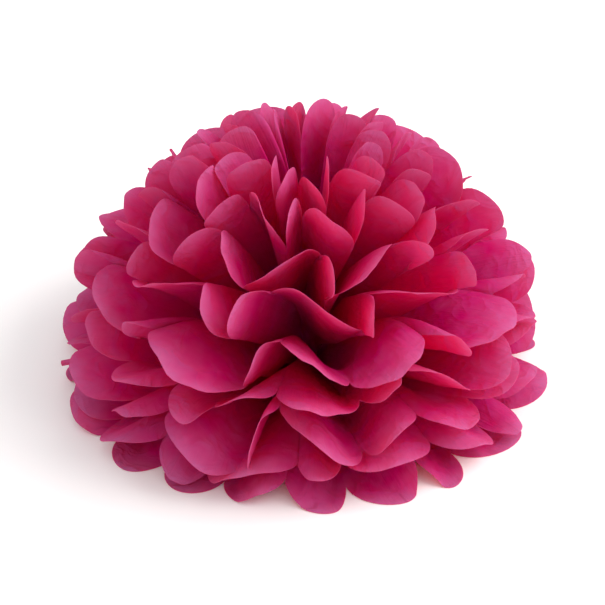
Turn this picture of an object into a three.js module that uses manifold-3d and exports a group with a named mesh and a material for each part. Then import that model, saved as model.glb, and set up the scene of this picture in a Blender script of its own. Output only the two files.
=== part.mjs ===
// Tissue paper pom pom.
// Sheets of tissue paper are pleated together like a fan and gathered across the middle by one twisted wire.
// Both halves of every sheet are fanned out until their side edges meet. The sheets are then lifted apart one
// by one, so that their scalloped ends fill a round bloom, which rests on the petals of its lowest sheet.
// Units are millimetres, +Z is up, and the front of the bloom faces -Y.

import * as THREE from "three";
import { mergeVertices } from "three/addons/utils/BufferGeometryUtils.js";
import Module from "manifold-3d";

// The sheets as they are cut and pleated. PAPER stands for the thickness of a crisp, slightly puffed sheet.
const SHEETS = 9;
const SHEET_LENGTH = 250;
const PLEAT_WIDTH = 38;
const PLEATS = 10;
const SCALLOP_DEPTH = 18;
const PAPER = 0.5;

// How the sheets are gathered. CLEARANCE is the gap between pieces that touch.
const CLEARANCE = 0.3;
const NECK_HALF_WIDTH = 5;
const NECK_RADIUS = 6;
const GATHER_RADIUS = 70;

// How the bloom is opened. Polar angles are measured from straight up, in degrees.
const TOP_POLAR = 16;
const BOTTOM_POLAR = 93;
const POLAR_EASE = 0.2;
const PARTING = 5;
const PARTED_SHEET = 4;
const RISE_RADIUS = 34;
const MOST_SWING = 0.42;
const LOOSENESS = 0.62;
const TIE_HEIGHT = 9;

// How much one pleat differs from the next. Where a sheet stands between upright and flat, its pleats lap
// over each other, which leaves wide panels between narrow ones. The lap comes and goes along the sheet.
const SHARED_JITTER = 0.22;
const OWN_JITTER = 0.24;
const SWAY = 0.7;
const OWN_RADIUS = 16;
const LEAN = 4;
const DROOP = 3.5;
const LAP = 0.5;
const LAP_TURN = 0.5;
const LAP_STEP = 2.5;
const BULGE_SHARE = 0.16;
const CURL_SHARE = 0.16;
const LEAST_SPACING = 0.3;

// The wire, and its twisted tail under the bloom.
const WIRE_THICKNESS = 1;
const TAIL_LENGTH = 2.5;
const TAIL_TURN = 6;

const DEGREE = Math.PI / 180;
const REACH = SHEET_LENGTH / 2;
const FOLD_REACH = REACH - SCALLOP_DEPTH;
const NECK_PITCH = PAPER + CLEARANCE;
const SLIT = WIRE_THICKNESS / 2 + CLEARANCE;
const HALVES = [0, 1];
const ROW_SHARES = [0, 0.07, 0.16, 0.31, 0.53, 0.78, 1];
const ROWS = ROW_SHARES.map((share) => THREE.MathUtils.lerp(NECK_RADIUS, FOLD_REACH, share));
const PART_WAYS = [0.2, 0.4, 0.6, 0.8];
const END_POINTS = 6;

// The draws of scatter that each kind of difference takes, two of them for the two halves of a sheet.
const DRAW = { lean: 2, cup: 4, curl: 6, sway: 8 };

// A repeatable scatter from -1 to 1 for three whole numbers.
function scatter(a, b, c) {
  const wave = Math.sin(a * 127.1 + b * 311.7 + c * 74.7) * 43758.5453;
  return 2 * (wave - Math.floor(wave)) - 1;
}

// How far along a half sheet each fold lies, as shares of its fan from 0 to 1. The folds of all sheets are
// alike where own is 0, and each sheet has its own where it is 1.
function foldShares(half, sheet, own) {
  const swing = Math.sin(rimPolar(sheet));
  const slant = Math.sin(2 * rimPolar(sheet)) ** 2;
  return Array.from({ length: PLEATS + 1 }, (_, fold) => {
    const loose = fold > 0 && fold < PLEATS ? 1 : 0;
    const jitter = SHARED_JITTER * scatter(fold, half, 0) + own * OWN_JITTER * scatter(fold, half, sheet + 1);
    const sway = own * SWAY * scatter(half, DRAW.sway, sheet) * Math.sin((Math.PI * fold) / PLEATS) * swing;
    const lap = own * LAP * slant * Math.sin(LAP_TURN * fold + LAP_STEP * sheet + half);
    return (fold + loose * (jitter + (fold % 2 === 1 ? lap : -lap)) + sway) / PLEATS;
  });
}

// The mean polar angle of a sheet at its rim, in radians: close together at the base and wider near the top,
// with a parting where the bloom opens.
function rimPolar(sheet) {
  const share = sheet / (SHEETS - 1);
  const eased = share * (1 + POLAR_EASE - POLAR_EASE * share);
  const parting = sheet < PARTED_SHEET ? 0 : PARTING;
  return DEGREE * (THREE.MathUtils.lerp(TOP_POLAR, BOTTOM_POLAR - PARTING, eased) + parting);
}

// The mean polar angle of a sheet at a radius: level in the neck, then risen to its rim angle. Its ends droop
// a little.
function meanPolar(sheet, radius) {
  const rise = THREE.MathUtils.smoothstep(radius, NECK_RADIUS, RISE_RADIUS);
  return THREE.MathUtils.lerp(Math.PI / 2, rimPolar(sheet), rise) + droopAt(sheet, radius);
}

// How far the outer part of a sheet has sunk under its own weight. A sheet that stands upright hardly sinks.
function droopAt(sheet, radius) {
  return DROOP * DEGREE * Math.sin(rimPolar(sheet)) * (radius / REACH) ** 3;
}

// The mean angle between a sheet and the one below it at a radius.
function polarSpacing(sheet, radius) {
  const upper = Math.min(sheet, SHEETS - 2);
  return meanPolar(upper + 1, radius) - meanPolar(upper, radius);
}

// Height of a sheet's layer in the gathered neck, from the middle of the stack.
function neckHeight(sheet) {
  return ((SHEETS - 1) / 2 - sheet) * NECK_PITCH;
}

// Height above the table of the lowest place a sheet can reach, on top of the sheets under it.
function tableHeight(sheet) {
  return (SHEETS - 1 - sheet) * NECK_PITCH;
}

// The largest polar angle a sheet can have at a radius before it meets the table.
function lowestPolar(sheet, radius) {
  const drop = TIE_HEIGHT + neckHeight(sheet) - tableHeight(sheet);
  return radius > drop ? Math.acos(-drop / radius) : Math.PI;
}

// Azimuths of one half's folds at a radius, measured from the front. The two halves meet at a narrow slit.
function foldAzimuths(sheet, half, radius) {
  const own = THREE.MathUtils.smoothstep(radius, OWN_RADIUS, FOLD_REACH);
  const slit = Math.asin(SLIT / radius);
  return foldShares(half, sheet, own).map((share) => {
    const turn = -Math.PI / 2 + slit + share * (Math.PI - 2 * slit);
    return half === 0 ? turn : -Math.PI - turn;
  });
}

// Polar angles of one half's folds at a radius. The folds go up and down by what a pleat of fixed width
// leaves over from the arc that it has to span, and lean a little each in their own way.
function foldPolars(sheet, half, radius, azimuths) {
  const mean = meanPolar(sheet, radius);
  const gather = THREE.MathUtils.smoothstep(radius, 0, GATHER_RADIUS);
  const own = THREE.MathUtils.smoothstep(radius, OWN_RADIUS, FOLD_REACH);
  return azimuths.map((azimuth, fold) => {
    const before = azimuths[Math.max(fold - 1, 0)];
    const after = azimuths[Math.min(fold + 1, PLEATS)];
    const panels = Math.min(fold + 1, PLEATS) - Math.max(fold - 1, 0);
    const span = (Math.abs(after - before) / panels) * radius * Math.sin(mean);
    const left = Math.sqrt(Math.max(PLEAT_WIDTH ** 2 - span ** 2, 0));
    const free = (0.5 * LOOSENESS * gather * left) / radius;
    const swing = MOST_SWING * mean * Math.tanh(free / (MOST_SWING * mean));
    const up = fold % 2 === 1 ? 1 : -1;
    const lean = LEAN * DEGREE * own * Math.sin(mean) * scatter(fold, half + DRAW.lean, sheet);
    return Math.min(mean - up * swing + lean, lowestPolar(sheet, radius));
  });
}

// The number of the first fold of a row at or after an azimuth, at least 1.
function foldAfter(row, azimuth) {
  const { azimuths } = row;
  const turn = Math.sign(azimuths[1] - azimuths[0]);
  const found = azimuths.findIndex((fold) => turn * fold >= turn * azimuth);
  return Math.max(found < 0 ? azimuths.length - 1 : found, 1);
}

// The polar angle of a row at any azimuth. A panel is straight from fold to fold, so its middle isn't at the
// mean of their angles.
function polarAt(row, azimuth) {
  const next = foldAfter(row, azimuth);
  const [left, right] = [row.azimuths[next - 1], row.azimuths[next]];
  const [leftPolar, rightPolar] = [row.polars[next - 1], row.polars[next]];
  const at = THREE.MathUtils.clamp(azimuth, Math.min(left, right), Math.max(left, right));
  const [leftOut, rightOut] = [Math.sin(leftPolar), Math.sin(rightPolar)];
  const behind = leftOut * Math.sin(Math.abs(at - left));
  const ahead = rightOut * Math.sin(Math.abs(right - at));
  const share = behind / (behind + ahead);
  const out = THREE.MathUtils.lerp(leftOut * Math.cos(at - left), rightOut * Math.cos(right - at), share);
  return Math.atan2(out, THREE.MathUtils.lerp(Math.cos(leftPolar), Math.cos(rightPolar), share));
}

// The azimuth and polar angle of a point on the straight line between two folds of neighbouring rows.
function partWay(inner, from, outer, to, share) {
  const turn = outer.azimuths[to] - inner.azimuths[from];
  const start = new THREE.Vector3().setFromSphericalCoords(inner.radius, inner.polars[from], 0);
  const end = new THREE.Vector3().setFromSphericalCoords(outer.radius, outer.polars[to], turn);
  const { theta, phi } = new THREE.Spherical().setFromVector3(start.lerp(end, share));
  return [inner.azimuths[from] + theta, phi];
}

// A half sheet part way between two of its rows, with the crease that crosses each panel there.
function rowBetween(inner, outer, share) {
  const points = [];
  for (let fold = 0; fold <= PLEATS; fold++) {
    points.push(partWay(inner, fold, outer, fold, share));
    if (fold < PLEATS) points.push(partWay(inner, fold, outer, fold + 1, share));
  }
  return { azimuths: points.map((point) => point[0]), polars: points.map((point) => point[1]) };
}

// Raises the folds of the given rows wherever their sheet comes closer than a gap to the sheet below it.
function giveWay(here, below, gap, rows) {
  const lifts = rows.map(() => new Array(PLEATS + 1).fill(0));
  for (const azimuth of [...here.azimuths, ...below.azimuths]) {
    const short = polarAt(here, azimuth) + gap - polarAt(below, azimuth);
    rows.forEach((row, index) => {
      const next = foldAfter(row, azimuth);
      for (const fold of [next - 1, next]) lifts[index][fold] = Math.max(lifts[index][fold], short);
    });
  }
  rows.forEach((row, index) => {
    row.polars = row.polars.map((polar, fold) => polar - lifts[index][fold]);
  });
}

// Nests a sheet on the one below it, at each row and then part way between rows.
function nest(here, below, sheet) {
  const gaps = ROWS.map((radius) => LEAST_SPACING * polarSpacing(sheet, radius));
  ROWS.forEach((_, index) => giveWay(here[index], below[index], gaps[index], [here[index]]));
  for (let index = 1; index < ROWS.length; index++) {
    const gap = (gaps[index - 1] + gaps[index]) / 2;
    for (const share of PART_WAYS) {
      const upper = rowBetween(here[index - 1], here[index], share);
      const lower = rowBetween(below[index - 1], below[index], share);
      giveWay(upper, lower, gap, [here[index - 1], here[index]]);
    }
  }
}

// The folds of every sheet at every radius, as plan[half][sheet][row]. Sheets are nested from the lowest up.
const plan = HALVES.map((half) => {
  const sheets = Array.from({ length: SHEETS }, (_, sheet) =>
    ROWS.map((radius) => {
      const azimuths = foldAzimuths(sheet, half, radius);
      return { radius, azimuths, polars: foldPolars(sheet, half, radius, azimuths) };
    }),
  );
  for (let sheet = SHEETS - 2; sheet >= 0; sheet--) nest(sheets[sheet], sheets[sheet + 1], sheet);
  return sheets;
});

// A point on the upper (+1) or lower (-1) side of a sheet. Nothing goes below the table, where the sheets
// that reach it lie on each other.
function place(sheet, radius, azimuth, polar, halfWall, side) {
  const out = radius * Math.sin(polar) - side * halfWall * Math.cos(polar);
  const up = neckHeight(sheet) + radius * Math.cos(polar) + side * halfWall * Math.sin(polar);
  const lowest = tableHeight(sheet) + (side > 0 ? PAPER : 0);
  return [out * Math.sin(azimuth), -out * Math.cos(azimuth), Math.max(up + TIE_HEIGHT, lowest)];
}

// Half the wall along the polar direction: thicker where a pleat stands steep, thinner where sheets crowd.
function halfWallAt(sheet, radius, steepness) {
  const room = polarSpacing(sheet, radius) * radius + NECK_PITCH;
  return Math.min((PAPER / 2) * Math.sqrt(1 + steepness ** 2), CLEARANCE * room);
}

// How steeply the pleats stand at a row of folds, as the mean rise over run from fold to fold.
function steepnessOf(row, radius) {
  const { azimuths, polars } = row;
  let rise = 0;
  for (let fold = 1; fold <= PLEATS; fold++) {
    rise += Math.abs(polars[fold] - polars[fold - 1]);
  }
  const mean = polars.reduce((sum, polar) => sum + polar) / polars.length;
  return rise / (Math.abs(azimuths[PLEATS] - azimuths[0]) * Math.sin(mean));
}

// Collects the points of a sheet's two faces and the triangles between them, then closes its rim.
class SheetMesh {
  constructor(sheet) {
    this.sheet = sheet;
    this.upper = [];
    this.lower = [];
    this.triangles = [];
  }

  point(radius, azimuth, polar, halfWall) {
    this.upper.push(place(this.sheet, radius, azimuth, polar, halfWall, 1));
    this.lower.push(place(this.sheet, radius, azimuth, polar, halfWall, -1));
    return this.upper.length - 1;
  }

  triangle(a, b, c, mirrored) {
    this.triangles.push(mirrored ? [a, c, b] : [a, b, c]);
  }

  quad(a, b, c, d, mirrored) {
    this.triangle(a, b, c, mirrored);
    this.triangle(a, c, d, mirrored);
  }

  geometry() {
    const count = this.upper.length;
    const index = [];
    const open = new Map();
    for (const [a, b, c] of this.triangles) {
      index.push(a, b, c, a + count, c + count, b + count);
      for (const [from, to] of [[a, b], [b, c], [c, a]]) {
        if (!open.delete(`${to},${from}`)) open.set(`${from},${to}`, [from, to]);
      }
    }
    for (const [from, to] of open.values()) {
      index.push(to, from, from + count, to, from + count, to + count);
    }
    const geometry = new THREE.BufferGeometry();
    const points = [...this.upper, ...this.lower].flat();
    geometry.setAttribute("position", new THREE.Float32BufferAttribute(points, 3));
    geometry.setIndex(index);
    geometry.computeVertexNormals();
    return geometry;
  }
}

// The neck of a sheet, a short strip under the wire. The stack of necks is round in section.
function neckPoints(mesh) {
  const stackHalf = neckHeight(0) + NECK_PITCH;
  const halfWidth = NECK_HALF_WIDTH * Math.sqrt(1 - (neckHeight(mesh.sheet) / stackHalf) ** 2);
  return Array.from({ length: PLEATS + 1 }, (_, fold) => {
    const across = halfWidth * ((2 * fold) / PLEATS - 1);
    return mesh.point(across, Math.PI / 2, Math.PI / 2, PAPER / 2);
  });
}

// The rounded end of one pleat, between two folds of the outermost row. Its middle is cupped, its tip curls.
function addPetalEnd(mesh, half, panel, inner, rim, row, halfWall) {
  const mirrored = half === 1;
  const [left, right] = [row.azimuths[panel], row.azimuths[panel + 1]];
  const [leftPolar, rightPolar] = [row.polars[panel], row.polars[panel + 1]];
  const middle = (left + right) / 2;
  const spacing = polarSpacing(mesh.sheet, FOLD_REACH);
  const cup = BULGE_SHARE * spacing * (0.5 + 0.5 * scatter(panel, half + DRAW.cup, mesh.sheet));
  const curl = CURL_SHARE * spacing * scatter(panel, half + DRAW.curl, mesh.sheet);
  const centre = mesh.point(FOLD_REACH, middle, (leftPolar + rightPolar) / 2 - cup, halfWall);
  const edge = [rim[panel]];
  for (let step = 1; step <= END_POINTS; step++) {
    const turn = (Math.PI * step) / (END_POINTS + 1);
    const across = (1 - Math.cos(turn)) / 2;
    const radius = FOLD_REACH + SCALLOP_DEPTH * Math.sin(turn);
    const azimuth = middle + ((across - 0.5) * (right - left) * FOLD_REACH) / radius;
    const droop = droopAt(mesh.sheet, radius) - droopAt(mesh.sheet, FOLD_REACH);
    const polar = THREE.MathUtils.lerp(leftPolar, rightPolar, across) + droop + curl * Math.sin(turn);
    edge.push(mesh.point(radius, azimuth, polar, halfWall));
  }
  edge.push(rim[panel + 1]);
  for (let step = 0; step <= END_POINTS; step++) {
    mesh.triangle(centre, edge[step], edge[step + 1], mirrored);
  }
  mesh.triangle(inner[panel], rim[panel], centre, mirrored);
  mesh.triangle(inner[panel], centre, inner[panel + 1], mirrored);
  mesh.triangle(centre, rim[panel + 1], inner[panel + 1], mirrored);
}

// One half of a sheet, fanned out from the neck.
function addFan(mesh, half, neck) {
  const mirrored = half === 1;
  let inner = neck;
  ROWS.forEach((radius, index) => {
    const row = plan[half][mesh.sheet][index];
    const halfWall = halfWallAt(mesh.sheet, radius, steepnessOf(row, radius));
    const outer = row.azimuths.map((turn, fold) => mesh.point(radius, turn, row.polars[fold], halfWall));
    for (let panel = 0; panel < PLEATS; panel++) {
      if (index < ROWS.length - 1) {
        mesh.quad(inner[panel], outer[panel], outer[panel + 1], inner[panel + 1], mirrored);
      } else {
        addPetalEnd(mesh, half, panel, inner, outer, row, halfWall);
      }
    }
    inner = outer;
  });
}

// A whole sheet, from one scalloped end through the neck to the other.
function makeSheet(sheet) {
  const mesh = new SheetMesh(sheet);
  const neck = neckPoints(mesh);
  HALVES.forEach((half) => addFan(mesh, half, neck));
  return mesh.geometry();
}

// A closed tube along rings of points.
function skinRings(rings, closed) {
  const sides = rings[0].length;
  const points = rings.flat();
  const index = [];
  const spans = closed ? rings.length : rings.length - 1;
  for (let ring = 0; ring < spans; ring++) {
    const next = (ring + 1) % rings.length;
    for (let side = 0; side < sides; side++) {
      const turn = (side + 1) % sides;
      const [a, b] = [ring * sides + side, ring * sides + turn];
      const [c, d] = [next * sides + turn, next * sides + side];
      index.push(a, b, c, a, c, d);
    }
  }
  if (!closed) {
    const last = (rings.length - 1) * sides;
    for (let side = 1; side < sides - 1; side++) {
      index.push(0, side + 1, side, last, last + side, last + side + 1);
    }
  }
  const geometry = new THREE.BufferGeometry();
  geometry.setAttribute("position", new THREE.Float32BufferAttribute(points.flat(), 3));
  geometry.setIndex(index);
  return geometry;
}

// The loop of wire round the necks, in the slit between the two halves.
const LOOP_STEPS = 24;
const WIRE_SIDES = 6;
const LOOP_HALF_WIDTH = NECK_RADIUS + WIRE_THICKNESS / 2 + CLEARANCE;
const LOOP_HALF_HEIGHT = neckHeight(0) + PAPER / 2 + 2 * WIRE_THICKNESS;
function wireLoop() {
  const rings = Array.from({ length: LOOP_STEPS }, (_, step) => {
    const turn = (2 * Math.PI * step) / LOOP_STEPS;
    return Array.from({ length: WIRE_SIDES }, (_, side) => {
      const angle = (2 * Math.PI * side) / WIRE_SIDES;
      const out = (WIRE_THICKNESS / 2) * Math.cos(angle);
      const x = (LOOP_HALF_WIDTH + out) * Math.cos(turn);
      const z = (LOOP_HALF_HEIGHT + out) * Math.sin(turn);
      return [x, (WIRE_THICKNESS / 2) * Math.sin(angle), z + TIE_HEIGHT];
    });
  });
  return skinRings(rings, true);
}

// The two ends of the wire, twisted round each other below the loop.
const TAIL_STEPS = 6;
const TAIL_SIDES = 8;
function wireTail() {
  const top = TIE_HEIGHT - LOOP_HALF_HEIGHT;
  const rings = Array.from({ length: TAIL_STEPS + 1 }, (_, step) => {
    const drop = (TAIL_LENGTH * step) / TAIL_STEPS;
    const twist = (2 * Math.PI * drop) / TAIL_TURN;
    return Array.from({ length: TAIL_SIDES }, (_, side) => {
      const angle = (2 * Math.PI * side) / TAIL_SIDES;
      const radius = WIRE_THICKNESS * Math.max(Math.abs(Math.cos(angle)), 0.5);
      return [radius * Math.cos(angle + twist), -radius * Math.sin(angle + twist), top - drop];
    });
  });
  return skinRings(rings, false);
}

const wasm = await Module();
wasm.setup();

// A closed geometry as a solid, and back.
function toSolid(geometry) {
  const merged = mergeVertices(geometry, 1e-4);
  return new wasm.Manifold(
    new wasm.Mesh({
      numProp: 3,
      vertProperties: new Float32Array(merged.attributes.position.array),
      triVerts: new Uint32Array(merged.index.array),
    }),
  );
}

function toGeometry(solid) {
  const { vertProperties, triVerts } = solid.getMesh();
  const geometry = new THREE.BufferGeometry();
  geometry.setAttribute("position", new THREE.Float32BufferAttribute(vertProperties, 3));
  geometry.setIndex(new THREE.Uint32BufferAttribute(triVerts, 1));
  return geometry;
}

// Hot pink tissue, matt and thin enough to see from both sides.
function tissue() {
  const sides = THREE.DoubleSide;
  return new THREE.MeshStandardMaterial({ color: 0xb8205f, roughness: 0.85, metalness: 0, side: sides });
}

const pomPom = new THREE.Group();
for (let sheet = 0; sheet < SHEETS; sheet++) {
  const mesh = new THREE.Mesh(makeSheet(sheet), tissue());
  mesh.name = `tissue_sheet_${String(sheet + 1).padStart(2, "0")}`;
  pomPom.add(mesh);
}
const steel = new THREE.MeshStandardMaterial({ color: 0xb9bcc0, roughness: 0.35, metalness: 1 });
const tie = new THREE.Mesh(toGeometry(toSolid(wireLoop()).add(toSolid(wireTail()))), steel);
tie.name = "tie_wire";
pomPom.add(tie);

// The middle of the bloom's footprint stands on the origin.
const middle = new THREE.Box3().setFromObject(pomPom).getCenter(new THREE.Vector3());
for (const mesh of pomPom.children) mesh.position.set(-middle.x, -middle.y, 0);

export default pomPom;
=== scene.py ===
"""Looks of the tissue paper pom pom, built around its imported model.

Nine pleated tissue sheets with scalloped ends radiate from one wire tie. Each visual sheet follows the same
fold plan as the solid it replaces, with finer panels, softened creases, cupped petals, curls and crinkles.
The folds next to the seam between its two halves sway to one side, which breaks up the slit between them.
Lengths are in metres and angles in degrees unless a comment says otherwise.
"""

from __future__ import annotations

import logging
import math
from dataclasses import dataclass, field
from enum import Enum

import bpy
import numpy as np
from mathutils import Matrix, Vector

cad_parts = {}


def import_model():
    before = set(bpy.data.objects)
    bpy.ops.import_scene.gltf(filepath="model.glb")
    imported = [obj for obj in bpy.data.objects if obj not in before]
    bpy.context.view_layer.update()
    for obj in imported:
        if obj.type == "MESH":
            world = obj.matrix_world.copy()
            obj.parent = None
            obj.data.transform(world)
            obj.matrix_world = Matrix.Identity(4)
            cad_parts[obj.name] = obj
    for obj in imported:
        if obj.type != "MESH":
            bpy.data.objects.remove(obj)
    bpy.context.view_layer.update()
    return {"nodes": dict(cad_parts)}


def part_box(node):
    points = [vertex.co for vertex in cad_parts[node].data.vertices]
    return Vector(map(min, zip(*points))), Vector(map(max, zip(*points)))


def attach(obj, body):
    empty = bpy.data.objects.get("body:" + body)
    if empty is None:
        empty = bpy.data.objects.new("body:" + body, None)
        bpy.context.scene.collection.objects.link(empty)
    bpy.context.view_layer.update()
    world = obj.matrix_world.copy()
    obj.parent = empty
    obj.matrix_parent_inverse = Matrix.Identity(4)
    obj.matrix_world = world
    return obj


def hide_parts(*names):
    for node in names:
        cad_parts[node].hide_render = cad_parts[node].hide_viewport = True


LOG = logging.getLogger("pom_pom")
MM = 0.001


class Half(Enum):
    """The two halves of a sheet, either side of the tie."""

    FRONT = 0
    BACK = 1


# Helpers.


def linear(hex_colour: str) -> tuple[float, float, float, float]:
    """Turns an sRGB hex colour into linear light.

    Args:
        hex_colour: Colour such as "#d43f87".

    Returns:
        Red, green, blue and an alpha of 1.
    """
    parts = [int(hex_colour[place : place + 2], 16) / 255 for place in (1, 3, 5)]
    light = [part / 12.92 if part <= 0.04045 else ((part + 0.055) / 1.055) ** 2.4 for part in parts]
    return (*light, 1.0)


def add_node(
    tree: bpy.types.NodeTree, kind: str, inputs: dict | None = None, **settings: object
) -> bpy.types.Node:
    """Adds a node, with its settings, values and links.

    Args:
        tree: Node tree that gets the node.
        kind: Blender's name for the kind of node.
        inputs: Socket name or number to a value, or to the output socket that feeds it.
        settings: Properties of the node.

    Returns:
        The new node.
    """
    node = tree.nodes.new(kind)
    for name, value in settings.items():
        setattr(node, name, value)
    for name, value in (inputs or {}).items():
        if isinstance(value, bpy.types.NodeSocket):
            tree.links.new(value, node.inputs[name])
        else:
            node.inputs[name].default_value = value
    return node


def scatter(a: float, b: float, c: float) -> float:
    """Repeatable scatter from -1 to 1 for three whole numbers, the same as the solids use."""
    wave = math.sin(a * 127.1 + b * 311.7 + c * 74.7) * 43758.5453
    return 2 * (wave - math.floor(wave)) - 1


def smoothstep(value: np.ndarray | float, low: float, high: float) -> np.ndarray | float:
    """Smooth step from 0 at low to 1 at high."""
    share = np.clip((value - low) / (high - low), 0, 1)
    return share * share * (3 - 2 * share)


def varied(share: float, value: np.ndarray | float) -> np.ndarray | float:
    """A factor of which a share follows a value and the rest stays."""
    return 1 - share + share * value


def mesh_object(name: str, mesh: bpy.types.Mesh) -> bpy.types.Object:
    """Links a new object for a mesh to the scene."""
    made = bpy.data.objects.new(name, mesh)
    bpy.context.scene.collection.objects.link(made)
    return made


def apply_tree(piece: bpy.types.Object, tree: bpy.types.NodeTree, values: dict[str, object]) -> None:
    """Runs a Geometry Nodes tree on an object and keeps the result as its plain mesh.

    Args:
        piece: Object that gets the result.
        tree: Geometry Nodes tree.
        values: Input name to value.
    """
    modifier = piece.modifiers.new(tree.name, "NODES")
    modifier.node_group = tree
    for item in tree.interface.items_tree:
        if item.item_type == "SOCKET" and item.in_out == "INPUT" and item.name in values:
            modifier[item.identifier] = values[item.name]
    graph = bpy.context.evaluated_depsgraph_get()
    graph.update()
    made = bpy.data.meshes.new_from_object(
        piece.evaluated_get(graph), preserve_all_data_layers=True, depsgraph=graph
    )
    piece.modifiers.remove(modifier)
    piece.data = made


# Finishes.


@dataclass(frozen=True)
class DyedTissue:
    """Soft tissue paper, dyed in the pulp and dried without a glaze, which leaves it nearly matt.

    It is thin enough to glow where light comes through it, and its dye deepens where light has passed from
    sheet to sheet. Gathering it by hand leaves fine streaks that run out from the tie, and shallow creases
    between them. A lighter tint is mixed in at random blotches and, as a painted highlight, towards the petal
    tips, and a thin painted highlight runs along each petal's cut rim.
    """

    dye: str = "#d80b8c"
    # Lighter tint, mixed in at random blotches and as a painted highlight towards the petal tips.
    blotch_and_tip_highlight_tint: str = "#d898dc"
    # Painted highlight along the cut rim of each petal.
    rim_highlight_tint: str = "#d468a8"
    glow: str = "#f01278"
    see_through: float = 0.6
    roughness: float = 0.6
    fibre_size: float = 0.9 * MM
    blotch_size: float = 14 * MM
    crease_size: float = 16 * MM
    crease_depth: float = 1.5 * MM
    # Shares of the random blotches and of the painted highlight at the tips in the lighter tint, and the
    # level where the tint starts.
    blotch_share: float = 0.6
    tip_highlight_share: float = 0.8
    paling_start_level: float = 0.3
    crease_height: float = 0.8
    fibre_height: float = 0.06
    streak_height: float = 0.6
    bump_strength: float = 0.6
    specular: float = 0.05
    sheen: float = 0.02
    sheen_tint: str = "#ffd0e8"

    def material(self) -> bpy.types.Material:
        """Builds the tissue's material."""
        made = bpy.data.materials.new("dyed_tissue_paper")
        made.use_nodes = True
        tree = made.node_tree
        tree.nodes.clear()
        place = add_node(tree, "ShaderNodeTexCoord").outputs["Object"]
        # Masks of the painted highlight at the tips and of the painted highlight along the cut rim.
        tip_highlight = self._attribute(tree, "tip_highlight")
        edge = self._attribute(tree, "edge")
        streak_place = add_node(tree, "ShaderNodeAttribute", attribute_name="streaks").outputs["Vector"]
        fibres = self._noise(tree, place, self.fibre_size, 3.0)
        blotches = self._noise(tree, place, self.blotch_size, 2.0)
        streaks = self._noise(tree, streak_place, 1.0, 2.0)
        creases = add_node(
            tree,
            "ShaderNodeTexNoise",
            {
                "Vector": place,
                "Scale": 1 / self.crease_size,
                "Detail": 2.0,
                "Roughness": 0.5,
                "Offset": 1.0,
                "Gain": 1.6,
                "Distortion": 0.6,
            },
            noise_type="RIDGED_MULTIFRACTAL",
        ).outputs["Fac"]
        # Random lighter blotches plus a painted highlight towards the petal tips; above the starting level
        # they mix in the lighter tint.
        blotches_plus_tip_highlight = self._sum(tree, blotches, self.blotch_share, tip_highlight, self.tip_highlight_share)
        paler = self._math(tree, "SUBTRACT", blotches_plus_tip_highlight, self.paling_start_level)
        # dyed holds the dye with the lighter blotches and the painted highlight at the tips mixed in.
        dyed = self._mix(tree, paler, linear(self.dye), linear(self.blotch_and_tip_highlight_tint))
        # Painted highlight along the cut rim, from the last ring's mask.
        colour = self._mix(tree, edge, dyed, linear(self.rim_highlight_tint))
        rough = self._sum(tree, creases, self.crease_height, fibres, self.fibre_height)
        height = self._sum(tree, rough, 1.0, streaks, self.streak_height)
        relief = {"Strength": self.bump_strength, "Distance": self.crease_depth, "Height": height}
        bump = add_node(tree, "ShaderNodeBump", relief).outputs["Normal"]
        paper = add_node(
            tree,
            "ShaderNodeBsdfPrincipled",
            {
                "Base Color": colour,
                "Roughness": self.roughness,
                "Specular IOR Level": self.specular,
                "Sheen Weight": self.sheen,
                "Sheen Tint": linear(self.sheen_tint),
                "Normal": bump,
            },
        ).outputs[0]
        through = add_node(
            tree, "ShaderNodeBsdfTranslucent", {"Color": linear(self.glow), "Normal": bump}
        ).outputs[0]
        both = add_node(tree, "ShaderNodeMixShader", {0: self.see_through, 1: paper, 2: through}).outputs[0]
        add_node(tree, "ShaderNodeOutputMaterial", {"Surface": both})
        return made

    @staticmethod
    def _attribute(tree: bpy.types.NodeTree, name: str) -> bpy.types.NodeSocket:
        """Reads one of the sheet's own numbers."""
        return add_node(tree, "ShaderNodeAttribute", attribute_name=name).outputs["Fac"]

    @staticmethod
    def _noise(
        tree: bpy.types.NodeTree, place: bpy.types.NodeSocket, size: float, detail: float
    ) -> bpy.types.NodeSocket:
        """Soft noise of a given size."""
        inputs = {"Vector": place, "Scale": 1 / size, "Detail": detail, "Roughness": 0.6}
        return add_node(tree, "ShaderNodeTexNoise", inputs).outputs["Fac"]

    @staticmethod
    def _math(
        tree: bpy.types.NodeTree,
        operation: str,
        a: bpy.types.NodeSocket | float,
        b: bpy.types.NodeSocket | float,
    ) -> bpy.types.NodeSocket:
        """One sum on two values."""
        return add_node(tree, "ShaderNodeMath", {0: a, 1: b}, operation=operation).outputs[0]

    def _sum(
        self,
        tree: bpy.types.NodeTree,
        a: bpy.types.NodeSocket,
        a_share: float,
        b: bpy.types.NodeSocket,
        b_share: float,
    ) -> bpy.types.NodeSocket:
        """Weighted sum of two values."""
        scaled = (self._math(tree, "MULTIPLY", a, a_share), self._math(tree, "MULTIPLY", b, b_share))
        return self._math(tree, "ADD", *scaled)

    @staticmethod
    def _mix(
        tree: bpy.types.NodeTree,
        factor: bpy.types.NodeSocket,
        a: bpy.types.NodeSocket | tuple[float, ...],
        b: bpy.types.NodeSocket | tuple[float, ...],
    ) -> bpy.types.NodeSocket:
        """Mixes two colours."""
        mixed = add_node(tree, "ShaderNodeMix", {"Factor": factor}, data_type="RGBA")
        for socket, value in ((mixed.inputs[6], a), (mixed.inputs[7], b)):
            if isinstance(value, bpy.types.NodeSocket):
                tree.links.new(value, socket)
            else:
                socket.default_value = value
        return mixed.outputs[2]


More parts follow.
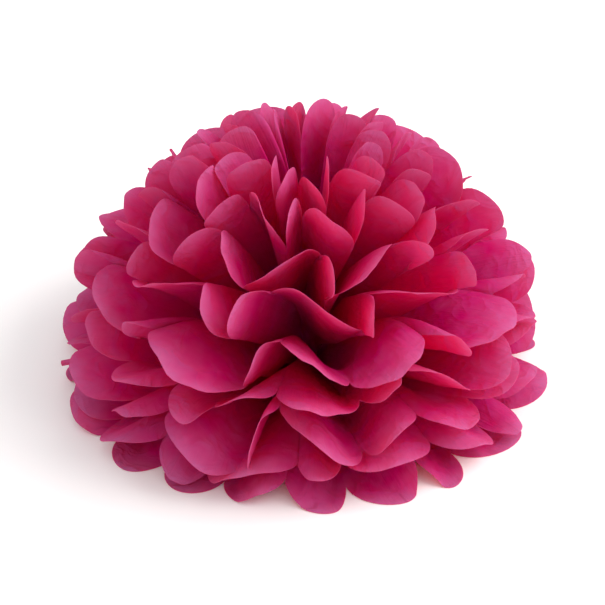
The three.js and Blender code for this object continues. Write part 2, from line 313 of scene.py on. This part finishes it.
@dataclass(frozen=True)
class DrawnSteel:
    """Bright steel wire, drawn through a die, which leaves it smooth."""

    colour: str = "#b8bac0"
    roughness: float = 0.32

    def material(self) -> bpy.types.Material:
        """Builds the wire's material."""
        made = bpy.data.materials.new("drawn_steel_wire")
        made.use_nodes = True
        shader = made.node_tree.nodes["Principled BSDF"]
        shader.inputs["Base Color"].default_value = linear(self.colour)
        shader.inputs["Metallic"].default_value = 1.0
        shader.inputs["Roughness"].default_value = self.roughness
        return made


# The folding rule, shared with the solids.


@dataclass(frozen=True)
class Folding:
    """How the sheets are cut, pleated, gathered and opened, as in the solids.

    Lengths are in millimetres here, because the rule was set in them.
    """

    sheets: int = 9
    sheet_length: float = 250.0
    pleat_width: float = 38.0
    pleats: int = 10
    scallop_depth: float = 18.0
    neck_pitch: float = 0.8
    neck_half_width: float = 5.0
    neck_radius: float = 6.0
    gather_radius: float = 70.0
    top_polar: float = 16.0
    bottom_polar: float = 93.0
    polar_ease: float = 0.2
    parting: float = 5.0
    parted_sheet: int = 4
    rise_radius: float = 34.0
    most_swing: float = 0.42
    looseness: float = 0.62
    tie_height: float = 9.0
    shared_jitter: float = 0.22
    own_jitter: float = 0.24
    sway: float = 0.7
    own_radius: float = 16.0
    lean: float = 4.0
    droop: float = 3.5
    lap: float = 0.5
    lap_turn: float = 0.5
    lap_step: float = 2.5
    least_spacing: float = 0.3
    slit: float = 0.8
    row_shares: tuple[float, ...] = (0, 0.07, 0.16, 0.31, 0.53, 0.78, 1)
    part_ways: tuple[float, ...] = (0.2, 0.4, 0.6, 0.8)

    @property
    def reach(self) -> float:
        """Radius of the petal tips."""
        return self.sheet_length / 2

    @property
    def fold_reach(self) -> float:
        """Radius where the folds end."""
        return self.reach - self.scallop_depth

    @property
    def rows(self) -> np.ndarray:
        """Radii at which the folds are planned."""
        return self.neck_radius + (self.fold_reach - self.neck_radius) * np.array(self.row_shares)

    def rim_polar(self, sheet: int) -> float:
        """Mean polar angle of a sheet at its rim, in radians."""
        share = sheet / (self.sheets - 1)
        eased = share * (1 + self.polar_ease - self.polar_ease * share)
        parting = 0.0 if sheet < self.parted_sheet else self.parting
        span = self.bottom_polar - self.parting - self.top_polar
        return math.radians(self.top_polar + span * eased + parting)

    def droop_at(self, sheet: int, radius: np.ndarray | float) -> np.ndarray | float:
        """How far a sheet has sunk at a radius, in radians."""
        return math.radians(self.droop) * math.sin(self.rim_polar(sheet)) * (radius / self.reach) ** 3

    def mean_polar(self, sheet: int, radius: float) -> float:
        """Mean polar angle of a sheet at a radius, in radians."""
        rise = smoothstep(radius, self.neck_radius, self.rise_radius)
        level = math.pi / 2
        return level + (self.rim_polar(sheet) - level) * rise + self.droop_at(sheet, radius)

    def polar_spacing(self, sheet: int, radius: float) -> float:
        """Mean angle between a sheet and the one below it, in radians."""
        upper = min(sheet, self.sheets - 2)
        return self.mean_polar(upper + 1, radius) - self.mean_polar(upper, radius)

    def neck_height(self, sheet: int) -> float:
        """Height of a sheet's layer in the neck, from the middle of the stack."""
        return ((self.sheets - 1) / 2 - sheet) * self.neck_pitch

    def table_height(self, sheet: int) -> float:
        """Lowest height that a sheet can reach above the table."""
        return (self.sheets - 1 - sheet) * self.neck_pitch

    def lowest_polar(self, sheet: int, radius: float) -> float:
        """Largest polar angle that a sheet can have before it meets the table, in radians."""
        drop = self.tie_height + self.neck_height(sheet) - self.table_height(sheet)
        return math.acos(-drop / radius) if radius > drop else math.pi


@dataclass
class FoldRow:
    """The folds of one half sheet at one radius."""

    radius: float
    azimuths: np.ndarray
    polars: np.ndarray

    def fold_after(self, azimuth: float) -> int:
        """Number of the first fold at or after an azimuth, at least 1."""
        turn = np.sign(self.azimuths[1] - self.azimuths[0])
        found = int(np.searchsorted(turn * self.azimuths, turn * azimuth, side="left"))
        return min(max(found, 1), len(self.azimuths) - 1)

    def polar_at(self, azimuth: float) -> float:
        """Polar angle at an azimuth, on the panel that runs straight from fold to fold there."""
        after = self.fold_after(azimuth)
        left, right = self.azimuths[after - 1], self.azimuths[after]
        at = min(max(azimuth, min(left, right)), max(left, right))
        left_out, right_out = math.sin(self.polars[after - 1]), math.sin(self.polars[after])
        behind = left_out * math.sin(abs(at - left))
        ahead = right_out * math.sin(abs(right - at))
        share = behind / (behind + ahead)
        out = left_out * math.cos(at - left) * (1 - share) + right_out * math.cos(right - at) * share
        up = math.cos(self.polars[after - 1]) * (1 - share) + math.cos(self.polars[after]) * share
        return math.atan2(out, up)

    def part_way(self, fold: int, outer: FoldRow, following: int, share: float) -> tuple[float, float]:
        """A point on the straight line between folds of two neighbouring rows.

        Args:
            fold: Fold of this row, where the line starts.
            outer: The next row.
            following: Fold of that row, where the line ends.
            share: Share of the way.

        Returns:
            The point's azimuth and polar angle.
        """
        ends = []
        for row, number in ((self, fold), (outer, following)):
            turn, polar = row.azimuths[number] - self.azimuths[fold], row.polars[number]
            flat = row.radius * math.sin(polar)
            ends.append((flat * math.cos(turn), flat * math.sin(turn), row.radius * math.cos(polar)))
        ahead, aside, up = (start * (1 - share) + end * share for start, end in zip(*ends))
        return self.azimuths[fold] + math.atan2(aside, ahead), math.atan2(math.hypot(ahead, aside), up)


@dataclass
class FoldPlan:
    """The folds of every sheet, nested on each other from the lowest up."""

    rule: Folding
    halves: dict[Half, list[list[FoldRow]]] = field(default_factory=dict)

    def __post_init__(self) -> None:
        """Plans both halves."""
        for half in Half:
            sheets = [self._sheet_rows(sheet, half) for sheet in range(self.rule.sheets)]
            for sheet in range(self.rule.sheets - 2, -1, -1):
                self._nest(sheets[sheet], sheets[sheet + 1], sheet)
            self.halves[half] = sheets

    def _sheet_rows(self, sheet: int, half: Half) -> list[FoldRow]:
        """A half sheet's rows before it is nested."""
        return [self._fold_row(sheet, half, radius) for radius in self.rule.rows]

    def _fold_row(self, sheet: int, half: Half, radius: float) -> FoldRow:
        """The folds at one radius: a pleat of fixed width goes up and down by what its arc leaves over.

        Args:
            sheet: Number of the sheet, from the top.
            half: Half of the sheet.
            radius: Radius of the row.

        Returns:
            The row of folds.
        """
        rule = self.rule
        own = float(smoothstep(radius, rule.own_radius, rule.fold_reach))
        swing = math.sin(rule.rim_polar(sheet))
        slant = math.sin(2 * rule.rim_polar(sheet)) ** 2
        half_sway = own * rule.sway * scatter(half.value, 8, sheet)
        folds = np.arange(rule.pleats + 1)
        shares = []
        for fold in folds:
            loose = 1 if 0 < fold < rule.pleats else 0
            jitter = rule.shared_jitter * scatter(fold, half.value, 0)
            jitter += own * rule.own_jitter * scatter(fold, half.value, sheet + 1)
            sway = half_sway * math.sin(math.pi * fold / rule.pleats) * swing
            lap = own * rule.lap * slant * math.sin(rule.lap_turn * fold + rule.lap_step * sheet + half.value)
            jitter += lap if fold % 2 == 1 else -lap
            shares.append((fold + loose * jitter + sway) / rule.pleats)
        slit = math.asin(rule.slit / radius)
        azimuths = -math.pi / 2 + slit + np.array(shares) * (math.pi - 2 * slit)
        if half is Half.BACK:
            azimuths = -math.pi - azimuths

        mean = rule.mean_polar(sheet, radius)
        gather = float(smoothstep(radius, 0, rule.gather_radius))
        polars = []
        for fold in folds:
            low, high = max(fold - 1, 0), min(fold + 1, rule.pleats)
            span = abs(azimuths[high] - azimuths[low]) / (high - low) * radius * math.sin(mean)
            left = math.sqrt(max(rule.pleat_width**2 - span**2, 0))
            most = rule.most_swing * mean
            amount = most * math.tanh(0.5 * rule.looseness * gather * left / radius / most)
            up = 1 if fold % 2 == 1 else -1
            lean = math.radians(rule.lean) * own * math.sin(mean) * scatter(fold, half.value + 2, sheet)
            polars.append(min(mean - up * amount + lean, rule.lowest_polar(sheet, radius)))
        return FoldRow(radius, azimuths, np.array(polars))

    def _between(self, inner: FoldRow, outer: FoldRow, share: float) -> FoldRow:
        """A half sheet part way between two rows, with the crease that crosses each panel of the solids."""
        points = []
        for fold in range(self.rule.pleats + 1):
            for following in (fold, fold + 1):
                if following <= self.rule.pleats:
                    points.append(inner.part_way(fold, outer, following, share))
        azimuths, polars = np.array(points).T
        radius = inner.radius * (1 - share) + outer.radius * share
        return FoldRow(radius, azimuths, polars)

    def _give_way(self, here: FoldRow, below: FoldRow, gap: float, rows: list[FoldRow]) -> None:
        """Raises the folds of rows wherever a sheet comes closer than a gap to the one below it."""
        lifts = [np.zeros(self.rule.pleats + 1) for _ in rows]
        for azimuth in [*here.azimuths, *below.azimuths]:
            short = here.polar_at(azimuth) + gap - below.polar_at(azimuth)
            for row, lift in zip(rows, lifts):
                following = row.fold_after(azimuth)
                for fold in (following - 1, following):
                    lift[fold] = max(lift[fold], short)
        for row, lift in zip(rows, lifts):
            row.polars = row.polars - lift

    def _nest(self, here: list[FoldRow], below: list[FoldRow], sheet: int) -> None:
        """Nests a half sheet on the one below it."""
        rule = self.rule
        gaps = [rule.least_spacing * rule.polar_spacing(sheet, radius) for radius in rule.rows]
        for index, gap in enumerate(gaps):
            self._give_way(here[index], below[index], gap, [here[index]])
        for index in range(1, len(gaps)):
            gap = (gaps[index - 1] + gaps[index]) / 2
            for share in rule.part_ways:
                upper = self._between(here[index - 1], here[index], share)
                lower = self._between(below[index - 1], below[index], share)
                self._give_way(upper, lower, gap, [here[index - 1], here[index]])


# The tissue sheets.

# Each layer of crinkles: how much finer it is than the first, and its height as a share of the first's.
CRINKLE_LAYERS = ((1.0, 1.0), (3.1, 0.42))
# Brings the folded noise, which stays under about a quarter, up to about 1.
CRINKLE_GAIN = 4
# Points of the two walls closer than this are one point, in metres.
WELD_DISTANCE = 0.002 * MM


def crumple_tree() -> bpy.types.NodeTree:
    """Geometry Nodes that crinkle a sheet where it is limp, give it its thickness and hand it its paper.

    Returns:
        A tree with the inputs Crinkle Height, Crinkle Size, Paper Thickness, Seed and Paper.
    """
    tree = bpy.data.node_groups.new("crumple_tissue", "GeometryNodeTree")
    tree.interface.new_socket("Geometry", in_out="OUTPUT", socket_type="NodeSocketGeometry")
    for name, kind in (
        ("Geometry", "NodeSocketGeometry"),
        ("Crinkle Height", "NodeSocketFloat"),
        ("Crinkle Size", "NodeSocketFloat"),
        ("Paper Thickness", "NodeSocketFloat"),
        ("Seed", "NodeSocketFloat"),
        ("Paper", "NodeSocketMaterial"),
    ):
        tree.interface.new_socket(name, in_out="INPUT", socket_type=kind)
    given = add_node(tree, "NodeGroupInput").outputs
    place = add_node(tree, "GeometryNodeInputPosition").outputs[0]
    normal = add_node(tree, "GeometryNodeInputNormal").outputs[0]
    limp = add_node(tree, "GeometryNodeInputNamedAttribute", {"Name": "limp"}, data_type="FLOAT").outputs[0]
    size = given["Crinkle Size"]
    scale = add_node(tree, "ShaderNodeMath", {0: 1.0, 1: size}, operation="DIVIDE").outputs[0]
    offset: bpy.types.NodeSocket | None = None
    for finer, share in CRINKLE_LAYERS:
        sized = add_node(tree, "ShaderNodeMath", {0: scale, 1: finer}, operation="MULTIPLY").outputs[0]
        wrinkle = add_node(
            tree,
            "ShaderNodeTexNoise",
            {"Vector": place, "W": given["Seed"], "Scale": sized, "Detail": 1.0},
            noise_dimensions="4D",
        ).outputs[0]
        centred = add_node(tree, "ShaderNodeMath", {0: wrinkle, 1: 0.5}, operation="SUBTRACT").outputs[0]
        creased = add_node(tree, "ShaderNodeMath", {0: centred}, operation="ABSOLUTE").outputs[0]
        gain = CRINKLE_GAIN * share
        layer = add_node(tree, "ShaderNodeMath", {0: creased, 1: gain}, operation="MULTIPLY").outputs[0]
        if offset is not None:
            layer = add_node(tree, "ShaderNodeMath", {0: layer, 1: offset}, operation="ADD").outputs[0]
        offset = layer
    tall = add_node(
        tree, "ShaderNodeMath", {0: offset, 1: given["Crinkle Height"]}, operation="MULTIPLY"
    ).outputs[0]
    free = add_node(tree, "ShaderNodeMath", {0: tall, 1: limp}, operation="MULTIPLY").outputs[0]
    along = add_node(tree, "ShaderNodeVectorMath", {0: normal, "Scale": free}, operation="SCALE").outputs[0]
    crumpled = add_node(
        tree, "GeometryNodeSetPosition", {"Geometry": given["Geometry"], "Offset": along}
    ).outputs[0]
    wall = {"Mesh": crumpled, "Offset Scale": given["Paper Thickness"], "Individual": False}
    walled = add_node(tree, "GeometryNodeExtrudeMesh", wall).outputs
    sharp_sides = {"Geometry": walled["Mesh"], "Selection": walled["Side"], "Shade Smooth": False}
    top = add_node(tree, "GeometryNodeSetShadeSmooth", sharp_sides).outputs[0]
    under = add_node(tree, "GeometryNodeFlipFaces", {"Mesh": crumpled}).outputs[0]
    both = add_node(tree, "GeometryNodeJoinGeometry", {"Geometry": top})
    tree.links.new(under, both.inputs["Geometry"])
    closed = add_node(
        tree, "GeometryNodeMergeByDistance", {"Geometry": both.outputs[0], "Distance": WELD_DISTANCE}
    ).outputs[0]
    plain = add_node(tree, "GeometryNodeRealizeInstances", {"Geometry": closed}).outputs[0]
    dressed = add_node(
        tree, "GeometryNodeSetMaterial", {"Geometry": plain, "Material": given["Paper"]}
    ).outputs[0]
    add_node(tree, "NodeGroupOutput", {"Geometry": dressed})
    return tree


@dataclass
class SheetGrid:
    """Points of a sheet by ring and column, with the masks of its painted highlights at the tips and the cut
    rim, and its streak places.
    """

    points: np.ndarray
    tip_highlight: np.ndarray
    edge: np.ndarray
    streaks: np.ndarray

    def reversed_rings(self) -> SheetGrid:
        """The same grid with its rings in the other order."""
        return SheetGrid(self.points[::-1], self.tip_highlight[::-1], self.edge[::-1], self.streaks[::-1])

    @staticmethod
    def joined(grids: list[SheetGrid], axis: int) -> SheetGrid:
        """Joins grids side by side (axis 1) or ring after ring (axis 0).

        Args:
            grids: Grids in order.
            axis: Axis along which they follow each other.

        Returns:
            One grid.
        """
        parts = zip(*((grid.points, grid.tip_highlight, grid.edge, grid.streaks) for grid in grids))
        return SheetGrid(*(np.concatenate(part, axis=axis) for part in parts))


@dataclass
class TissueSheet:
    """One pleated sheet of tissue, from the scallops of one half through the neck to those of the other.

    Lengths with MM are in metres, and the others in the fold plan's millimetres.
    """

    number: int
    plan: FoldPlan
    centre: Vector
    columns: int = 22
    radii: int = 44
    ring_crowding: float = 1.1
    # Width of the last band, which carries the painted rim highlight, then the shape of the painted highlight
    # towards the tips.
    rim_highlight_width: float = 0.22
    tip_highlight_sharpness: int = 14
    tip_highlight_body: float = 0.7
    streak_width: float = 2.4
    streak_length: float = 26.0
    streak_shift_by_sheet: float = 7.3
    streak_shift_by_half: float = 3.1
    thickness: float = 0.14 * MM
    crinkle_height: float = 1.2 * MM
    crinkle_size: float = 34 * MM
    seed_step: float = 3.7
    limp_start: float = 25.0
    limp_full: float = 110.0
    pressed_height: float = 1.5
    table_clearance: float = 0.3
    inner_softness: float = 0.1
    outer_softness: float = 0.48
    cup: float = 2.6
    cup_scatter: float = 0.45
    cup_start: float = 30.0
    cup_full: float = 100.0
    curl: float = 4.6
    curl_scatter: float = 0.75
    curl_body: float = 0.65
    curl_start: float = 58.0
    roomy_spacing: float = 9.0
    roll_share: float = 0.5
    sideways: float = 2.6
    ruffle: float = 0.35
    ruffle_waves: float = 2.0
    ruffle_phase: float = 9.0
    scallop_scatter: float = 0.18
    scallop_start: float = 0.45
    seam_sway: float = 3.0
    seam_scatter: float = 0.3
    seam_follow: float = 0.4
    seam_start: float = 50.0

    @property
    def name(self) -> str:
        """The piece's name."""
        return f"tissue_petals_{self.number + 1:02d}"

    @property
    def node(self) -> str:
        """The solid that the piece replaces."""
        return f"tissue_sheet_{self.number + 1:02d}"

    def _interpolated(self, half: Half, radii: np.ndarray) -> tuple[np.ndarray, np.ndarray]:
        """Azimuths and polar angles of the folds at fine radii, smooth from row to row.

        Args:
            half: Half of the sheet.
            radii: Fine radii, in millimetres.

        Returns:
            Two arrays of radii by folds.
        """
        rows = self.plan.halves[half][self.number]
        knots = self.plan.rule.rows
        azimuths = self._smooth(knots, np.array([row.azimuths for row in rows]), radii)
        polars = self._smooth(knots, np.array([row.polars for row in rows]), radii)
        return azimuths, polars

    @staticmethod
    def _smooth(knots: np.ndarray, values: np.ndarray, wanted: np.ndarray) -> np.ndarray:
        """Cubic curve through values at knots, with slopes that don't overshoot.

        Args:
            knots: Rising places of the rows.
            values: Rows of values.
            wanted: Places to read, clamped to the knots.

        Returns:
            Rows of values at the wanted places.
        """
        steps = np.diff(knots)[:, None]
        slopes = np.diff(values, axis=0) / steps
        tangents = np.empty_like(values)
        tangents[0], tangents[-1] = slopes[0], slopes[-1]
        product = slopes[:-1] * slopes[1:]
        total = slopes[:-1] + slopes[1:]
        safe = np.where(np.abs(total) < 1e-12, 1.0, total)
        tangents[1:-1] = np.where(product > 0, 2 * product / safe, 0.0)
        place = np.clip(wanted, knots[0], knots[-1])
        index = np.clip(np.searchsorted(knots, place, side="right") - 1, 0, len(knots) - 2)
        width = (knots[index + 1] - knots[index])[:, None]
        t = ((place - knots[index]) / width[:, 0])[:, None]
        from_value, to_value = values[index], values[index + 1]
        from_slope, to_slope = tangents[index] * width, tangents[index + 1] * width
        return (
            (2 * t**3 - 3 * t**2 + 1) * from_value
            + (t**3 - 2 * t**2 + t) * from_slope
            + (-2 * t**3 + 3 * t**2) * to_value
            + (t**3 - t**2) * to_slope
        )

    def _sway_seams(self, azimuths: np.ndarray, base: np.ndarray) -> None:
        """Sways the end folds to one side, and the folds next to them by a share of that.

        Args:
            azimuths: Azimuths of radii by folds, which the sway is added to.
            base: Radii of the rings, in millimetres.
        """
        sheet = self.number
        free = smoothstep(base, self.seam_start, self.plan.rule.fold_reach)
        for end, beside, side in ((0, 1, 1), (-1, -2, 2)):
            size = varied(self.seam_scatter, scatter(side, 21, sheet))
            sway = math.radians(self.seam_sway) * (-1) ** (sheet + side) * size
            azimuths[:, end] += sway * free
            azimuths[:, beside] += self.seam_follow * sway * free

    def _petal_bend(
        self, half: Half, panel: int, radius: np.ndarray, across: np.ndarray
    ) -> tuple[np.ndarray, np.ndarray]:
        """How far the points of a petal are cupped, curled and turned to one side.

        Args:
            half: Half of the sheet.
            panel: Number of the panel that ends in the petal.
            radius: Radii of its points, by rings and columns, in millimetres.
            across: Share of the way across the panel, by column.

        Returns:
            What is added to the points' polar angles and to their azimuths, in radians.
        """
        rule, sheet = self.plan.rule, self.number
        draws = [scatter(panel, half.value + draw, sheet) for draw in (4, 6, 12, 16, 18)]
        cup_draw, curl_draw, turn_draw, roll_draw, wave_draw = draws
        outer = np.clip((radius - self.curl_start) / (rule.reach - self.curl_start), 0, None)
        body = np.sin(math.pi * across)
        cupped = smoothstep(radius, self.cup_start, self.cup_full)
        cup = math.radians(self.cup) * varied(self.cup_scatter, cup_draw) * body * cupped
        most_curl = math.radians(self.curl) * outer**2
        curl = most_curl * varied(self.curl_scatter, curl_draw) * varied(self.curl_body, body)
        roll = most_curl * self.roll_share * roll_draw * (2 * across - 1) * body
        phase = (self.ruffle_waves + wave_draw) * 2 * math.pi * across + self.ruffle_phase * turn_draw
        ruffle = math.radians(self.ruffle) * outer**4 * np.sin(phase) * body
        room = min(1.0, rule.polar_spacing(sheet, rule.fold_reach) / math.radians(self.roomy_spacing))
        side = 1 if half is Half.FRONT else -1
        aside = math.radians(self.sideways) * turn_draw * outer**2 * body * side
        return (curl + roll + ruffle) * room - cup, aside

    def _half_grid(self, half: Half) -> SheetGrid:
        """One half sheet from its first ring to its scallops, in millimetres.

        Args:
            half: Half of the sheet.

        Returns:
            Its grid.
        """
        rule, sheet = self.plan.rule, self.number
        fold_length = rule.fold_reach - rule.neck_radius
        # The last ring sits this far inside the rim, and that band carries the painted rim highlight.
        last = 1 - self.rim_highlight_width / fold_length
        spread = np.append(np.linspace(0, 1, self.radii - 1) ** self.ring_crowding * last, 1.0)
        base = rule.neck_radius + fold_length * spread
        azimuths, polars = self._interpolated(half, base)
        self._sway_seams(azimuths, base)
        way = np.linspace(0, math.pi, self.columns + 1)
        across, round_end = (1 - np.cos(way)) / 2, np.sin(way)
        end_share = smoothstep(spread, self.scallop_start, 1.0) * spread
        softness = self.inner_softness + (self.outer_softness - self.inner_softness) * spread
        blend = across - softness[:, None] * np.sin(2 * math.pi * across) / (2 * math.pi)
        # Mask of the painted highlight towards the petal tips, strongest mid-petal.
        tip_highlight = spread[:, None] ** self.tip_highlight_sharpness * varied(self.tip_highlight_body, np.sin(math.pi * across))
        # Mask of the painted highlight along the cut rim: the last ring.
        rim = np.zeros_like(tip_highlight)
        rim[-1] = 1.0
        streak_shift = self.streak_shift_by_sheet * sheet + self.streak_shift_by_half * half.value
        panels = []
        for panel in range(rule.pleats):
            depth = rule.scallop_depth * (1 + self.scallop_scatter * scatter(panel, half.value + 14, sheet))
            radius = base[:, None] + depth * end_share[:, None] * round_end
            bend, aside = self._petal_bend(half, panel, radius, across)
            droop = rule.droop_at(sheet, radius) - rule.droop_at(sheet, base[:, None])
            polar = polars[:, panel, None] * (1 - blend) + polars[:, panel + 1, None] * blend + bend + droop
            left, right = azimuths[:, panel, None], azimuths[:, panel + 1, None]
            narrowed = (across - 0.5) * (right - left) * base[:, None] / radius
            azimuth = (left + right) / 2 + narrowed + aside
            ring = np.stack(
                [
                    radius * np.sin(polar) * np.sin(azimuth),
                    -radius * np.sin(polar) * np.cos(azimuth),
                    radius * np.cos(polar),
                ],
                axis=-1,
            )
            streaks = np.stack(
                [
                    np.broadcast_to((panel + across) * rule.pleat_width / self.streak_width, radius.shape),
                    radius / self.streak_length,
                    np.full(radius.shape, streak_shift),
                ],
                axis=-1,
            )
            first = 0 if panel == 0 else 1
            panels.append(SheetGrid(ring[:, first:], tip_highlight[:, first:], rim[:, first:], streaks[:, first:]))
        return SheetGrid.joined(panels, axis=1)

    def _whole_grid(self) -> SheetGrid:
        """The whole sheet, with its neck between its two halves."""
        rule = self.plan.rule
        front = self._half_grid(Half.FRONT)
        back = self._half_grid(Half.BACK)
        stack_half = rule.neck_height(0) + rule.neck_pitch
        half_width = rule.neck_half_width * math.sqrt(1 - (rule.neck_height(self.number) / stack_half) ** 2)
        columns = front.tip_highlight.shape[1]
        plain = np.zeros((1, columns))
        neck = SheetGrid(np.zeros((1, columns, 3)), plain, plain, front.streaks[:1])
        neck.points[0, :, 0] = np.linspace(-half_width, half_width, columns)
        grid = SheetGrid.joined([back.reversed_rings(), neck, front], axis=0)
        height = grid.points[..., 2] + rule.tie_height + rule.neck_height(self.number)
        lowest = rule.table_height(self.number) + self.table_clearance
        grid.points[..., 2] = np.maximum(height, lowest)
        return grid

    def build(self, tree: bpy.types.NodeTree, paper: bpy.types.Material) -> bpy.types.Object:
        """Builds the sheet.

        Args:
            tree: Geometry Nodes that crumple it.
            paper: Its material.

        Returns:
            The finished piece.
        """
        grid = self._whole_grid()
        rings, columns = grid.tip_highlight.shape
        points = grid.points.reshape(-1, 3) * MM + np.array([self.centre.x, self.centre.y, 0])
        corner = (np.arange(rings - 1)[:, None] * columns + np.arange(columns - 1)[None, :]).reshape(-1)
        faces = np.stack([corner, corner + columns, corner + columns + 1, corner + 1], axis=1)
        mesh = bpy.data.meshes.new(self.name)
        mesh.from_pydata(points.tolist(), [], faces.tolist())
        distance = np.linalg.norm(grid.points[..., :2], axis=-1)
        lifted = grid.points[..., 2] > self.pressed_height
        limp = smoothstep(distance, self.limp_start, self.limp_full) * lifted
        # The first two layers are masks of the painted highlights at the tips and along the cut rim.
        for label, kind, key, values in (
            ("tip_highlight", "FLOAT", "value", grid.tip_highlight),
            ("edge", "FLOAT", "value", grid.edge),
            ("limp", "FLOAT", "value", limp),
            ("streaks", "FLOAT_VECTOR", "vector", grid.streaks),
        ):
            layer = mesh.attributes.new(label, kind, "POINT")
            layer.data.foreach_set(key, np.asarray(values, dtype=np.float32).reshape(-1))
        mesh.polygons.foreach_set("use_smooth", np.ones(len(mesh.polygons), dtype=bool))
        mesh.update()
        piece = mesh_object(self.name, mesh)
        values = {
            "Crinkle Height": self.crinkle_height,
            "Crinkle Size": self.crinkle_size,
            "Paper Thickness": self.thickness,
            "Seed": self.seed_step * self.number,
            "Paper": paper,
        }
        apply_tree(piece, tree, values)
        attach(piece, "root")
        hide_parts(self.node)
        return piece


# The scene around the bloom.


@dataclass
class PhotoStudio:
    """Pale floor, soft light and the photograph's viewpoint."""

    target: Vector
    elevation: float = 33.0
    distance: float = 0.9
    lens: float = 102.5
    sensor: float = 36.0
    aim_above_tie: float = 23.2 * MM
    floor_size: float = 14.0
    room_light: float = 0.97

    def floor(self) -> bpy.types.Object:
        """Lays the pale floor."""
        mesh = bpy.data.meshes.new("floor")
        half = self.floor_size / 2
        corners = [(-half, -half, 0), (half, -half, 0), (half, half, 0), (-half, half, 0)]
        mesh.from_pydata(corners, [], [(0, 1, 2, 3)])
        material = bpy.data.materials.new("pale_backdrop_card")
        material.use_nodes = True
        shader = material.node_tree.nodes["Principled BSDF"]
        shader.inputs["Base Color"].default_value = linear("#fbfafa")
        shader.inputs["Roughness"].default_value = 0.9
        mesh.materials.append(material)
        made = mesh_object("floor", mesh)
        return made

    def camera(self) -> None:
        """Sets the camera at the photograph's angle."""
        tilt = math.radians(self.elevation)
        towards = Vector((0, -math.cos(tilt), math.sin(tilt)))
        up = Vector((0, math.sin(tilt), math.cos(tilt)))
        aim = self.target + up * self.aim_above_tie
        data = bpy.data.cameras.new("photo_camera")
        data.lens = self.lens
        data.sensor_width = self.sensor
        made = bpy.data.objects.new("photo_camera", data)
        bpy.context.scene.collection.objects.link(made)
        made.location = aim + towards * self.distance
        made.rotation_euler = (-towards).to_track_quat("-Z", "Y").to_euler()
        bpy.context.scene.camera = made

    def lights(self) -> None:
        """Hangs two soft boxes in a pale room."""
        scene = bpy.context.scene
        world = bpy.data.worlds.new("pale_room")
        world.use_nodes = True
        background = world.node_tree.nodes["Background"]
        background.inputs["Color"].default_value = linear("#ffffff")
        background.inputs["Strength"].default_value = self.room_light
        scene.world = world
        for name, place, size, power, colour in (
            ("soft_box_right", (1.05, 0.0, 0.9), 1.1, 17.2, "#fff8f6"),
            ("soft_box_left", (-0.75, -0.5, 0.6), 0.7, 0.2, "#e4e6ff"),
        ):
            data = bpy.data.lights.new(name, "AREA")
            data.size = size
            data.energy = power
            data.color = linear(colour)[:3]
            made = bpy.data.objects.new(name, data)
            scene.collection.objects.link(made)
            made.location = place
            made.rotation_euler = (self.target - Vector(place)).to_track_quat("-Z", "Y").to_euler()
        scene.view_settings.view_transform = "Standard"


def main() -> None:
    """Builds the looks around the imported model."""
    logging.basicConfig(level=logging.INFO, format="%(message)s")
    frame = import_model()
    low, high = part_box("tie_wire")
    rule = Folding()
    centre = Vector(((low[0] + high[0]) / 2, (low[1] + high[1]) / 2, rule.tie_height * MM))

    plan = FoldPlan(rule)
    tree = crumple_tree()
    paper = DyedTissue().material()
    for number in range(rule.sheets):
        piece = TissueSheet(number, plan, centre).build(tree, paper)
        LOG.info("%s: %d faces", piece.name, len(piece.data.polygons))

    wire = frame["nodes"]["tie_wire"]
    steel = DrawnSteel().material()
    for place in wire.material_slots:
        place.material = steel
    LOG.info("tie_wire: kept as modelled, in drawn steel")

    studio = PhotoStudio(centre)
    studio.floor()
    studio.lights()
    studio.camera()


if __name__ == "__main__":
    main()
